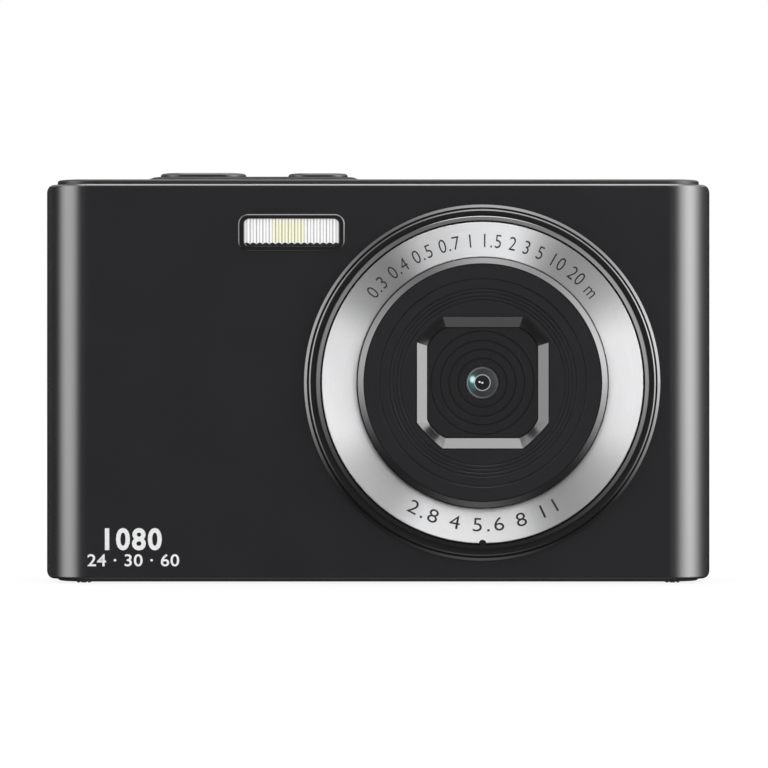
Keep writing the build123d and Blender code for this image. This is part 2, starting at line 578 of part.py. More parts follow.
def nav_key(turn):
    """One quarter of the ring pad, relieved over the centre key's flange and with a flange under the cover."""
    y0, y1 = PAD_KEY_Y0, KEY_FACE
    r0, relief_r, relief_y = OK_R + 0.2, OK_R + 1.1, y0 + 0.9
    quarter = turned([
        (r0, relief_y), (r0, y1 - 0.3), (r0 + 0.4, y1 - 0.05), (NAV_R - 0.6, y1 + 0.05), (NAV_R, y1 - 0.35),
        (NAV_R, FLANGE_Y1), (NAV_R + 1.0, FLANGE_Y1), (NAV_R + 1.0, y0), (relief_r, y0), (relief_r, relief_y),
    ], 0, 0)
    split, reach = 0.3, 16            # a V with its point just above the centre leaves a gap between quarters
    wedge = make_face(Polyline((0, split), (reach, reach + split), (-reach, reach + split), close=True))
    quarter = quarter & along_y(wedge, 0, 0, y0 - 1, y1 + 1)
    return Pos(KEYS_X, 0, NAV_Z) * Rot(0, turn, 0) * quarter


def zoom_rocker():
    """A see-saw zoom key: dished face with a centre ridge, on trunnions along Z."""
    half, top = ROCKER_W / 2, REAR_Y + 0.95
    outline = [Line((-half, 7.95), (half, 7.95)), Line((half, 7.95), (half, REAR_Y + 0.5)),
               ThreePointArc((half, REAR_Y + 0.5), (half - 0.2, top - 0.1), (half - 0.7, top)),
               ThreePointArc((half - 0.7, top), (half / 2, REAR_Y + 0.45), (0.5, top - 0.1)),
               ThreePointArc((0.5, top - 0.1), (0, top), (-0.5, top - 0.1)),
               ThreePointArc((-0.5, top - 0.1), (-half / 2, REAR_Y + 0.45), (0.7 - half, top)),
               ThreePointArc((0.7 - half, top), (0.2 - half, top - 0.1), (-half, REAR_Y + 0.5)),
               Line((-half, REAR_Y + 0.5), (-half, 7.95))]
    body = Pos(KEYS_X, 0, ROCKER_Z - ROCKER_H / 2) * extrude(make_face(outline), amount=ROCKER_H)
    body = body & along_y(rounded(ROCKER_W, ROCKER_H, 1.4), KEYS_X, ROCKER_Z, 5, 15)
    body += box(KEYS_X - 0.9, KEYS_X + 0.9, ROCKER_AXIS_Y, 8.2, ROCKER_Z - 2.2, ROCKER_Z + 2.2)
    return body + Pos(KEYS_X, ROCKER_AXIS_Y, ROCKER_Z) * Cylinder(0.5, ROCKER_H + 2.6)


def keypad_membrane():
    """Silicone sheet with a dome under every key."""
    body = box(-46, -19.8, KEYBOARD_Y1 + 0.02, KEYBOARD_Y1 + 0.5, 8, 55.5)
    high = FLANGE_Y0 - 0.05
    domes = [(x, z, high) for x, z in key_places().values()]
    domes.append((KEYS_X, NAV_Z, high - 0.5))
    for dx, dz in ((1, 0), (-1, 0), (0, 1), (0, -1)):
        domes.append((KEYS_X + 7.2 * dx, NAV_Z + 7.2 * dz, high - 0.5))
    domes += [(KEYS_X + 5.5 * side, ROCKER_Z, high - 0.3) for side in (-1, 1)]
    for x, z, top in domes:
        body += turned([(0, KEYBOARD_Y1 + 0.3), (1.9, KEYBOARD_Y1 + 0.3), (1.3, top), (0, top)], x, z)
    return body


def keypad_board():
    return box(-46.5, -19.2, KEYBOARD_Y0, KEYBOARD_Y1, 6.5, 56.5)


def status_light():
    return along_y(Circle(LIGHT_R), LIGHT_X, LIGHT_Z, KEYBOARD_Y1 + 0.6, REAR_Y + 0.1)


# ---- inside ----
BAY_X0, BAY_X1, BAY_Y0, BAY_Y1 = -41.4, -7.8, -7.7, 0.5
BAY_TOP = 46.0
LEDGE_Z0, LEDGE_Z1 = PLATE_T + 0.05, 3.7
BOARD_SCREWS = [(-43.6, 50.0), (-43.6, 10.0), (25.0, 51.0), (25.0, 8.0)]


def chassis():
    """Moulded frame: battery bay in front, a centre wall for the board, and ledges for the bottom screws."""
    body = box(-46, 46, -0.3, BAY_Y1, 3.0, 53.6)
    body += box(BAY_X0, BAY_X1, BAY_Y0, BAY_Y1, 2.4, BAY_TOP)
    for x, y in BOTTOM_SCREWS:
        y0, y1 = (-0.3, y + 2.2) if y > 0 else (y - 2.2, BAY_Y1)
        body += box(x - 3.5, x + 3.5, y0, y1, LEDGE_Z0, LEDGE_Z1)
    body += box(LENS_X - 4, LENS_X + 4, -4.47, -0.2, LENS_Z - 5, LENS_Z + 4)
    body += box(-33, -5, -0.3, BAY_Y1, 53.5, TOP_BOARD_Z0 - 0.02)
    body -= box(-40.55, -8.65, -6.95, -0.3, 0, BAY_TOP - 0.8)
    body -= box(32.0, 50, -5, 5, 17, 49)
    body -= box(-5.4, 5.4, -5.4, 5.4, 0, 7.6)
    for x, y in BOTTOM_SCREWS:
        body -= Pos(x, y, 2.5) * Cylinder(SHANK_R + 0.02, 6)
    for x, z in BOARD_SCREWS:
        body += along_y(Circle(1.6), x, z, BAY_Y1 - 0.1, BOARD_Y0 - 0.02)
        body -= along_y(Circle(SHANK_R + 0.02), x, z, BAY_Y1 - 0.7, BOARD_Y0 + 1)
    return body


def main_board():
    """Circuit board with its processor, memory, power chips, coils and the microphone's can at its top edge."""
    body = box(-45.5, 46.5, BOARD_Y0, BOARD_Y1, 4.2, 53.4)
    body -= box(-5.8, 5.8, 0, 5, 0, 8.0)
    for x, z in BOARD_SCREWS:
        body -= along_y(Circle(0.85), x, z, 0, 5)
    chips = [(12, 32, 12, 12, 1.1), (27, 33, 8, 10, 0.9), (12, 16, 5, 5, 0.8), (0, 36, 4, 4, 0.8),
             (-6, 28, 4, 4, 1.1), (-6, 20, 3, 3, 1.1), (22, 20, 3, 2, 0.7), (34, 44, 5, 3, 0.9),
             (MIC_X, 51.8, 3, 3, 1.2)]
    for x, z, w, h, t in chips:
        body += box(x - w / 2, x + w / 2, BOARD_Y1 - 0.1, BOARD_Y1 + t, z - h / 2, z + h / 2)
    return body


def usb_port():
    """Receptacle shell with its tongue, open to the right-hand side."""
    x0, x1 = 42.3, BODY_W / 2 - 0.55
    y = BOARD_Y0 - 0.02 - USB_T / 2
    shell = along_x(SlotOverall(USB_W, USB_T, 90), y, USB_Z, x0, x1)
    shell -= along_x(SlotOverall(USB_W - 0.6, USB_T - 0.6, 90), y, USB_Z, x0 + 0.6, x1 + 1)
    return shell + box(x0 + 0.3, x1 - 0.9, y - 0.35, y + 0.35, USB_Z - 3.3, USB_Z + 3.3)


CARD_Y0 = 0.3


def card_slot():
    cage = box(33.6, 47.9, CARD_Y0 - 0.35, BOARD_Y0 - 0.02, CARD_Z - 6.2, CARD_Z + 6.2)
    return cage - box(34.2, 50, CARD_Y0 - 0.06, CARD_Y0 + CARD_T + 0.06, CARD_Z - 5.56, CARD_Z + 5.56)


def memory_card():
    body = box(34.9, 49.7, CARD_Y0, CARD_Y0 + CARD_T, CARD_Z - CARD_W / 2, CARD_Z + CARD_W / 2)
    body = fillet(body.edges().filter_by(Axis.Y), 0.5)
    notch = box(36, 39, 0, 2, CARD_Z + CARD_W / 2 - 0.7, CARD_Z + CARD_W)
    ridge = box(48.5, 48.8, CARD_Y0 - 0.1, CARD_Y0 + 0.15, CARD_Z - 4, CARD_Z + 4)
    return body - notch - ridge


def battery():
    x0, y0 = BATTERY_X - BATTERY_W / 2, BATTERY_Y - BATTERY_T / 2
    cell = box(x0, x0 + BATTERY_W, y0, y0 + BATTERY_T, BATTERY_LOW, BATTERY_LOW + BATTERY_H)
    cell = fillet(cell.edges().filter_by(Axis.Z), 1.2)
    for n in range(3):
        x = x0 + 4.0 + 3.4 * n
        cell -= box(x - 1.0, x + 1.0, BATTERY_Y - 1.4, BATTERY_Y + 1.4, BATTERY_LOW + BATTERY_H - 0.2, 60)
    return cell


def battery_contacts():
    """Moulded block at the top of the bay with three bent leaf contacts."""
    x0, top = BATTERY_X - BATTERY_W / 2, BAY_TOP - 0.82
    body = box(x0 + 1, x0 + 14, BATTERY_Y - 2.4, BATTERY_Y + 2.4, top - 1.0, top)
    for n in range(3):
        x = x0 + 4.0 + 3.4 * n
        body += box(x - 0.6, x + 0.6, BATTERY_Y - 0.9, BATTERY_Y + 0.9, BATTERY_LOW + BATTERY_H - 0.15, top - 0.9)
    return body


def door_pin():
    return Pos(HINGE_X, -3.3, HINGE_Z) * Rot(90, 0, 0) * Cylinder(0.5, 9.0)


def speaker():
    x0, x1, y0, y1 = SPEAKER_X - 6, SPEAKER_X + 6, SPEAKER_Y - 2.8, SPEAKER_Y + 2.8
    return fillet(box(x0, x1, y0, y1, PLATE_T + 0.05, PLATE_T + 3.0).edges().filter_by(Axis.Z), 1.0)


def strap_eyelet():
    """A cup let into the side wall with a bar across its mouth."""
    w, h = STRAP_SIZE[0] - 2 * GAP, STRAP_SIZE[1] - 2 * GAP
    x0 = -BODY_W / 2 + 0.12
    cup = along_x(rounded(w, h, 1.15), STRAP_Y, STRAP_Z, x0, x0 + 3.2)
    cup -= along_x(rounded(w - 1.0, h - 1.0, 0.8), STRAP_Y, STRAP_Z, x0 - 1, x0 + 2.7)
    return cup + Pos(x0 + 0.75, STRAP_Y, STRAP_Z) * Rot(90, 0, 0) * Cylinder(0.55, w - 0.4)


def cover_screws():
    """Eight identical screws: four through the side walls and four through the bottom plate."""
    one = screw(SIDE_HEAD_R, SIDE_HEAD_H, SHANK_R, SCREW_L)
    solids = []
    for side, z in side_screw_places():
        place = Pos(side * (BODY_W / 2 - 0.12), SIDE_SCREW_Y, z) * Rot(0, -90 * side, 0)
        solids.append(place * one)
    for x, y in BOTTOM_SCREWS:
        solids.append(Pos(x, y, 0.15) * one)
    return Compound(children=solids)


def inner_screws():
    """Seven identical screws: three hold the lens back plate and four hold the main board."""
    one = screw(1.15, 0.5, SHANK_R, 1.9)
    solids = [Pos(x, PLATE_Y1 + 0.52, z) * Rot(90, 0, 0) * one for x, z in lens_screw_places()]
    solids += [Pos(x, BOARD_Y1 + 0.52, z) * Rot(90, 0, 0) * one for x, z in BOARD_SCREWS]
    return Compound(children=solids)


def build():
    for make in (front_cover, back_cover, top_cover, bottom_cover, foot_pads, tripod_socket, battery_door, door_latch,
                 door_pin, lens_bezel, name_ring, hub_ring, hub_face_plate, window_frame, baffle_panel,
                 lens_back_plate, lens_barrel, front_element, rear_elements, focus_coil, focus_housing,
                 focus_magnets, module_base, sensor_board, lamp_bezel, lamp_window, lamp_reflector, lamp_board,
                 shutter_spring, top_board, screen_window, screen_module, ok_button, zoom_rocker,
                 keypad_membrane, keypad_board, status_light, chassis, main_board, usb_port, card_slot,
                 memory_card, battery, battery_contacts, speaker, strap_eyelet, cover_screws,
                 inner_screws):
        parts[make.__name__] = make()
    parts["shutter_button"] = top_button(SHUTTER_X, SHUTTER_SIZE, SHUTTER_TRAVEL, 1.4)
    parts["power_button"] = top_button(POWER_X, POWER_SIZE, POWER_TRAVEL, 1.2)
    for name, (x, z) in key_places().items():
        parts[name] = rear_key(x, z)
    for name, turn in (("up_key", 0), ("left_key", 90), ("down_key", 180), ("right_key", 270)):
        parts[name] = nav_key(turn)
    glass = along_y(Rectangle(5.2, 5.2), LENS_X, LENS_Z, -6.66, -6.36)
    die = box(LENS_X - 2.9, LENS_X + 2.9, -5.9, -5.3, LENS_Z - 2.3, LENS_Z + 2.3)
    parts["filter_glass"] = glass
    parts["image_sensor"] = die


build()
os.makedirs("parts", exist_ok=True)
for name, shape in parts.items():
    export_step(shape, f"parts/{name}.step")
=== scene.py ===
import json
import math

import bmesh
import bpy
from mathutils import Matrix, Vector


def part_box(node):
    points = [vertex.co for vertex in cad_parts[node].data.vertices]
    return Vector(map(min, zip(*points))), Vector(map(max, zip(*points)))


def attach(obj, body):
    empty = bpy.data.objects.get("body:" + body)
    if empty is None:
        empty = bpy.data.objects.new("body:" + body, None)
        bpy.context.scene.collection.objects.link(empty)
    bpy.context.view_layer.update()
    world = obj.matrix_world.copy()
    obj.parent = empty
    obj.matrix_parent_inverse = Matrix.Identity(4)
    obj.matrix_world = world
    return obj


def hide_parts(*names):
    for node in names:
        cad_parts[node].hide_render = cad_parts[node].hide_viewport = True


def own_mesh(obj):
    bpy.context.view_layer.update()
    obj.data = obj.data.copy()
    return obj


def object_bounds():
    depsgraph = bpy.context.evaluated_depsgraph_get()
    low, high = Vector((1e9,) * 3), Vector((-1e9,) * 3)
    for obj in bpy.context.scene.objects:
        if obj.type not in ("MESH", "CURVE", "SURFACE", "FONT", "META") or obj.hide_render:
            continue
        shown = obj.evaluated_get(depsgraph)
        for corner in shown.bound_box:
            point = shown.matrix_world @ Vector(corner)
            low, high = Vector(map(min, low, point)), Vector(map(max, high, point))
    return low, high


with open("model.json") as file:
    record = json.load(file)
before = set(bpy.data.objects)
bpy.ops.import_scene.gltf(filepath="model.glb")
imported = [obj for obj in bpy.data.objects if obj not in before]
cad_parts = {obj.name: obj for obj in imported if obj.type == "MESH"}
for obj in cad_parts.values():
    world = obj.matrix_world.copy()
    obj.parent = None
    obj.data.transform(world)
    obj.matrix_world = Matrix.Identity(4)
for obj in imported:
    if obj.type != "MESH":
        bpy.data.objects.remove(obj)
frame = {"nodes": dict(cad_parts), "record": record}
cad_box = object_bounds()
nodes = frame["nodes"]
MM = 0.001


# ---- places taken from the CAD ----
def centre(node):
    """The centre of a node's box, in X and Z."""
    low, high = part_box(node)
    return (low[0] + high[0]) / 2, (low[2] + high[2]) / 2


LENS_X, LENS_Z = centre("name_ring")
LAMP_X, LAMP_Z = centre("lamp_window")
SCREEN_X, SCREEN_Z = centre("screen_window")
PAD_X, PAD_Z = centre("ok_button")
RING_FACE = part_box("name_ring")[0][1]
FRONT_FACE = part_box("front_cover")[0][1]
GLASS_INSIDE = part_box("screen_window")[0][1]    # inner face of the display's cover glass
FLOOR_Z = cad_box[0][2]


# ---- node tree helpers ----
class Look:
    """A material, with short calls for the shader nodes this scene uses."""

    def __init__(self, name):
        self.mat = bpy.data.materials.new(name)
        self.mat.use_nodes = True
        self.start(self.mat.node_tree, "OutputMaterial", "Object")

    def start(self, tree, output, coordinates):
        self.tree = tree
        self.tree.nodes.clear()
        self.out = self.node(output)
        self.place = self.node("TexCoord").outputs[coordinates]

    def node(self, kind, props=None, **inputs):
        made = self.tree.nodes.new("ShaderNode" + kind)
        for key, value in (props or {}).items():
            setattr(made, key, value)
        for key, value in inputs.items():
            self.put(made.inputs[key.replace("_", " ")], value)
        return made

    def put(self, socket, value):
        if isinstance(value, bpy.types.NodeSocket):
            self.tree.links.new(value, socket)
        elif isinstance(value, tuple) and socket.type == "RGBA" and len(value) == 3:
            socket.default_value = (*value, 1)
        else:
            socket.default_value = value

    def math(self, operation, a, b=0.0):
        made = self.node("Math", {"operation": operation})
        self.put(made.inputs[0], a)
        self.put(made.inputs[1], b)
        return made.outputs[0]

    def add(self, a, b):
        return self.math("ADD", a, b)

    def sub(self, a, b):
        return self.math("SUBTRACT", a, b)

    def mul(self, a, b):
        return self.math("MULTIPLY", a, b)

    def off(self, value, middle):
        """How far a value is from a middle one, either way."""
        return self.math("ABSOLUTE", self.sub(value, middle))

    def length(self, a, b):
        return self.math("SQRT", self.add(self.mul(a, a), self.mul(b, b)))

    def between(self, value, low, high):
        """1 between two values, 0 elsewhere."""
        return self.mul(self.math("GREATER_THAN", value, low), self.math("LESS_THAN", value, high))

    def axis(self, letter, source=None):
        return self.node("SeparateXYZ", Vector=source or self.place).outputs[letter]

    def bricks(self, offset, scale, joint):
        """1 in the joints of a brick pattern in the XZ plane, 0 in its bricks."""
        plane = self.node("CombineXYZ", X=self.axis("X"), Y=self.axis("Z")).outputs[0]
        made = self.node("TexBrick", {"offset": offset}, Vector=plane, Scale=scale, Mortar_Size=joint)
        return made.outputs["Fac"]

    def noise(self, scale, detail=2.0, source=None):
        made = self.node("TexNoise", Vector=source or self.place, Scale=scale, Detail=detail)
        return made.outputs["Fac"]

    def ramp(self, value, low, high, to_low=0.0, to_high=1.0, smooth=False):
        made = self.node("MapRange", {"interpolation_type": "SMOOTHSTEP" if smooth else "LINEAR"})
        for name, number in (("From Min", low), ("From Max", high), ("To Min", to_low), ("To Max", to_high)):
            self.put(made.inputs[name], number)
        self.put(made.inputs["Value"], value)
        return made.outputs["Result"]

    def spread(self, noise, low=0.0, high=1.0):
        """A noise value's usual range, spread from low to high."""
        return self.ramp(noise, *NOISE_RANGE, low, high)

    def mix(self, fac, a, b):
        """Colour a, or colour b where fac is 1."""
        made = self.node("Mix", {"data_type": "RGBA"})
        for socket, value in ((made.inputs[0], fac), (made.inputs[6], a), (made.inputs[7], b)):
            self.put(socket, value)
        return made.outputs[2]

    def scaled(self, colour, fac):
        """A colour darkened by a grey value of at most 1."""
        return self.mix(fac, (0, 0, 0), colour)

    def times(self, colour, grey):
        """A fixed colour multiplied by a grey value, which may be over 1."""
        made = self.node("VectorMath", {"operation": "SCALE"}, Scale=grey)
        made.inputs[0].default_value = colour
        return made.outputs[0]

    def bump(self, height, distance):
        return self.node("Bump", Height=height, Distance=distance, Strength=1.0).outputs[0]

    def principled(self, **inputs):
        return self.node("BsdfPrincipled", **inputs).outputs[0]

    def see_through(self, **inputs):
        return self.node("BsdfTransparent", **inputs).outputs[0]

    def either(self, fac, first, second):
        """The first shader, or the second where fac is 1."""
        made = self.node("MixShader", Fac=fac)
        self.put(made.inputs[1], first)
        self.put(made.inputs[2], second)
        return made.outputs[0]

    def finish(self, shader):
        self.tree.links.new(shader, self.out.inputs["Surface"])
        return self.mat

    def radial(self, x, z):
        """(radius, angle, unit direction outwards) about the axis along Y through (x, z)."""
        dx = self.sub(self.axis("X"), x)
        dz = self.sub(self.axis("Z"), z)
        outwards = self.node("VectorMath", {"operation": "NORMALIZE"})
        self.put(outwards.inputs[0], self.node("CombineXYZ", X=dx, Z=dz).outputs[0])
        return self.length(dx, dz), self.math("ARCTAN2", dz, dx), outwards.outputs[0]


NOISE_RANGE = (0.3, 0.7)          # where most of a noise texture's values lie

# Slow unevenness across a moulding: its scale, and what it does to the tone and the shine
BROAD_SCALE, BROAD_TONE, BROAD_SHINE = 90, 0.03, 0.04
FINE_SHINE = 0.06                 # what the fine grain does to the shine
CREVICE_OPEN, CREVICE_TONE = (0.2, 0.85), 0.1


def moulded(name, colour, rough, grain=2600, depth=0.004, vary=0.1, metallic=0.0, shine_level=0.9,
            crevice=0.0):
    """A moulding or casting: fine grain in its height, its shine and its colour.

    A crevice distance, in mm, makes it darker where light can't reach.
    """
    look = Look(name)
    fine = look.noise(grain, 3.0)
    broad = look.noise(BROAD_SCALE, 2.0)
    shade = look.add(look.spread(fine, 1 - vary, 1 + vary), look.spread(broad, -BROAD_TONE, BROAD_TONE))
    if crevice:
        open_air = look.node("AmbientOcclusion", {"samples": 8}, Distance=crevice * MM).outputs["AO"]
        shade = look.mul(shade, look.ramp(open_air, *CREVICE_OPEN, CREVICE_TONE, 1.0))
    shine = look.add(look.spread(fine, (1 - FINE_SHINE) * rough, (1 + FINE_SHINE) * rough),
                     look.spread(broad, -BROAD_SHINE * rough, BROAD_SHINE * rough))
    return look.finish(look.principled(
        Base_Color=look.times(colour, shade), Roughness=shine, Metallic=metallic,
        Specular_IOR_Level=shine_level, Normal=look.bump(fine, depth * MM)))


# The silver ring's painted highlights: four bright fans of painted highlight with dim ones of painted shade
# between them
STREAK_SCALE, STREAK_DEPTH = 26000, 0.0012 * MM
STREAK_TURN = 0.00012             # of the streaks' texture per radian, so that they run round the ring
FAN_COUNT, FAN_LEAN = 4.0, 0.11   # the upper and lower fans lean over, in radians
PAINTED_HIGHLIGHT_TONE, PAINTED_HIGHLIGHT_SIDES, PAINTED_HIGHLIGHT_TOP = 1.66, -0.52, -0.18
PAINTED_SHADE_TONE, PAINTED_SHADE_TOP = 0.84, -0.27


def spun(name, colour, rough, x, z):
    """Metal turned about an axis along Y: fine circular streaks, with highlights drawn out radially, and fans
    of painted highlight and shade.
    """
    look = Look(name)
    radius, angle, outwards = look.radial(x, z)
    wound = look.node("CombineXYZ", X=radius, Y=look.mul(angle, STREAK_TURN)).outputs[0]
    streak = look.noise(STREAK_SCALE, 3.0, wound)
    speck = look.noise(5200, 2.0)
    shade = look.add(look.ramp(streak, 0.25, 0.75, 0.93, 1.05), look.spread(speck, -0.02, 0.02))
    # Painted highlight and painted shade in its colour: bright fans and dim ones, all darker towards the top
    high = look.math("SINE", angle)
    lean = look.mul(look.mul(high, high), look.mul(high, FAN_LEAN))
    fans = look.math("COSINE", look.mul(look.sub(angle, lean), FAN_COUNT))
    bright = look.add(look.mul(look.math("COSINE", look.mul(angle, 2.0)), PAINTED_HIGHLIGHT_SIDES), PAINTED_HIGHLIGHT_TONE)
    bright = look.add(bright, look.mul(high, PAINTED_HIGHLIGHT_TOP))
    dim = look.add(look.mul(high, PAINTED_SHADE_TOP), PAINTED_SHADE_TONE)
    lit = look.ramp(fans, -1.0, 0.4, smooth=True)
    painted_fans = look.add(dim, look.mul(lit, look.sub(bright, dim)))
    return look.finish(look.principled(
        Base_Color=look.times(colour, look.mul(shade, painted_fans)), Metallic=1.0,
        Roughness=look.ramp(streak, 0.2, 0.8, rough - 0.03, rough + 0.03),
        Anisotropic=0.85, Tangent=outwards, Normal=look.bump(streak, STREAK_DEPTH)))


def printed(name, colour, rough=0.45):
    """Ink: nearly one tone, with the slight unevenness of a pad print."""
    look = Look(name)
    patch = look.noise(2200, 3.0)
    tone = look.mix(look.spread(patch), colour, tuple(0.86 * c for c in colour))
    return look.finish(look.principled(
        Base_Color=tone, Roughness=look.spread(patch, rough, rough + 0.08), Specular_IOR_Level=0.27))


# ---- materials ----
BOARD_PAST = 1.03 * MM            # just more than the main board's thickness
RIBS, RIB_PITCH = 15, 0.95 * MM
PHOSPHOR_LEFT, PHOSPHOR_UP = 0.45 * MM, 0.1 * MM      # from the middle of the lamp's window
PHOSPHOR_EDGE_X, PHOSPHOR_EDGE_Z = (2.1 * MM, 2.7 * MM), (1.25 * MM, 1.7 * MM)
VIEW_HALF_W, VIEW_HALF_H = 27.6 * MM, 20.9 * MM       # clear part of the display's cover glass
TRAY_DEPTH = 1.3 * MM             # from the cover glass to the display's metal tray
BAND_FROM_BOTTOM, BAND_FROM_TOP = 8 * MM, 9 * MM      # the battery's label


def board_look():
    """Green solder mask with faint copper tracks, and black packages where the board is built up."""
    look = Look("circuit_board")
    track = look.bricks(0.5, 380.0, 0.06)
    mask = look.mix(track, (0.012, 0.075, 0.035), (0.03, 0.16, 0.07))
    low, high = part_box("main_board")
    chip = look.between(look.axis("Y"), low[1] + BOARD_PAST, high[1] + 0.01 * MM)
    tone = look.mix(chip, mask, (0.02, 0.02, 0.022))
    return look.finish(look.principled(
        Base_Color=tone, Roughness=look.spread(look.noise(1500), 0.28, 0.4),
        Normal=look.bump(track, 0.01 * MM)))


def lamp_look():
    """Frosted diffuser: near white, with a painted glow, painted shade between its ribs and on its downward
    faces, and the warm phosphor showing in the middle.
    """
    look = Look("lamp_clear")
    x = look.sub(look.axis("X"), LAMP_X)
    across = look.add(look.math("DIVIDE", x, RIB_PITCH), RIBS / 2)
    fine = look.math("PINGPONG", look.mul(across, 2.0), 0.5)
    coarse = look.math("PINGPONG", across, 0.5)
    # Painted shade: dark lines between the ribs and down their middles
    pale = look.mul(look.ramp(fine, 0.0, 0.34, 0.58, 1.0, smooth=True),
                    look.ramp(coarse, 0.0, 0.16, 0.8, 1.0, smooth=True))
    sideways = look.off(x, -PHOSPHOR_LEFT)
    upwards = look.off(look.axis("Z"), LAMP_Z + PHOSPHOR_UP)
    warm = look.mul(look.ramp(sideways, *PHOSPHOR_EDGE_X, 1.0, 0.0, smooth=True),
                    look.ramp(upwards, *PHOSPHOR_EDGE_Z, 1.0, 0.25, smooth=True))
    tone = look.mix(warm, (1.0, 1.0, 1.0), (0.97, 0.955, 0.72))
    # Painted shade on the faces that turn downwards
    up = look.axis("Z", look.node("NewGeometry").outputs["True Normal"])
    base = look.scaled(tone, look.mul(pale, look.ramp(up, -0.6, -0.35, 0.04, 1.0)))
    # The glow is painted light: it keeps the window bright where it would be shaded
    return look.finish(look.principled(
        Base_Color=look.scaled(base, 0.55), Roughness=look.spread(look.noise(1200), 0.22, 0.32), IOR=1.3,
        Emission_Color=base, Emission_Strength=0.44))


def screen_glass_look():
    """Cover glass: a black printed border with a clear window over the display."""
    look = Look("screen_glass")
    inside = look.mul(look.math("LESS_THAN", look.off(look.axis("X"), SCREEN_X), VIEW_HALF_W),
                      look.math("LESS_THAN", look.off(look.axis("Z"), SCREEN_Z), VIEW_HALF_H))
    shine = look.spread(look.noise(500), 0.035, 0.05)
    border = look.principled(Base_Color=(0.006, 0.006, 0.007), Roughness=shine, Specular_IOR_Level=0.9)
    gloss = look.principled(Base_Color=(0.01, 0.012, 0.014), Roughness=shine, Specular_IOR_Level=1.0)
    pane = look.either(0.16, look.see_through(Color=(0.75, 0.78, 0.8)), gloss)
    return look.finish(look.either(inside, border, pane))


def display_look():
    """A display that is off: very dark blue grey with its fine cell grid, in a pale metal tray."""
    look = Look("screen_black")
    cells = look.bricks(0.0, 5200.0, 0.05)
    panel = look.mix(cells, (0.016, 0.018, 0.023), (0.021, 0.024, 0.029))
    tray = look.math("LESS_THAN", look.axis("Y"), GLASS_INSIDE - TRAY_DEPTH)
    tone = look.mix(tray, panel, (0.5, 0.5, 0.51))
    return look.finish(look.principled(
        Base_Color=tone, Metallic=tray, Roughness=look.spread(look.noise(800), 0.2, 0.3)))


def glass_look():
    """Coated lens glass: a dark stop in the middle, a grey ring round it, and painted reflections: a teal
    glint at the left, small white glints and bright lines at the stop's edge and the rim.
    """
    look = Look("lens_glass")
    radius, _, _ = look.radial(LENS_X, LENS_Z)

    def spot(x, z, inner, outer, squeeze=1.0):
        """1 within inner mm of a point beside the lens axis, falling to 0 at outer mm."""
        dx = look.sub(look.axis("X"), LENS_X + x * MM)
        dz = look.mul(look.sub(look.axis("Z"), LENS_Z + z * MM), squeeze)
        return look.ramp(look.length(dx, dz), inner * MM, outer * MM, 1.0, 0.0, smooth=True)

    def line(r, width):
        """1 on a circle of radius r mm, falling to 0 at width mm either side."""
        return look.ramp(look.off(radius, r * MM), 0.25 * width * MM, width * MM, 1.0, 0.0, smooth=True)

    outside = look.ramp(radius, 1.12 * MM, 1.2 * MM)
    grain = look.noise(900)
    stop = look.mix(grain, (0.008, 0.008, 0.009), (0.02, 0.02, 0.022))
    around = look.mix(grain, (0.03, 0.031, 0.033), (0.05, 0.051, 0.053))
    tone = look.mix(outside, stop, around)
    # Painted reflections: a teal glint and a pale cyan one at the left, then bright lines at the stop's edge
    # and at the rim, brighter to the left
    teal = look.mul(outside, spot(-1.4, 0.15, 0.1, 1.15, 0.6))
    tone = look.mix(teal, tone, (0.06, 0.16, 0.17))
    glint = look.mul(outside, spot(-1.45, 0.48, 0.2, 0.6, 0.85))
    tone = look.mix(glint, tone, (0.62, 0.95, 0.95))
    tone = look.mix(look.mul(line(1.17, 0.1), 0.75), tone, (0.6, 0.6, 0.6))
    rim_highlight_leftwards = look.ramp(look.axis("X"), LENS_X + 1.5 * MM, LENS_X - 1.8 * MM, 0.1, 0.5)
    tone = look.mix(look.mul(line(2.2, 0.11), rim_highlight_leftwards), tone, (0.5, 0.55, 0.55))
    # Two small painted white glints
    for x, z in ((-0.42, 0.1), (-0.02, -0.02)):
        tone = look.mix(spot(x, z, 0.08, 0.22, 1.3), tone, (1.0, 1.0, 1.0))
    return look.finish(look.principled(Base_Color=tone, Roughness=0.04, Coat_Weight=0.5, Coat_Roughness=0.02))


def battery_look():
    """Shrink-wrapped cell: grey body with a pale label band and darker ends."""
    look = Look("battery_wrap")
    low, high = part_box("battery")
    band = look.between(look.axis("Z"), low[2] + BAND_FROM_BOTTOM, high[2] - BAND_FROM_TOP)
    tone = look.mix(band, (0.035, 0.037, 0.042), (0.28, 0.3, 0.33))
    grain = look.noise(1400)
    return look.finish(look.principled(
        Base_Color=tone, Roughness=look.spread(grain, 0.32, 0.45), Normal=look.bump(grain, 0.004 * MM)))


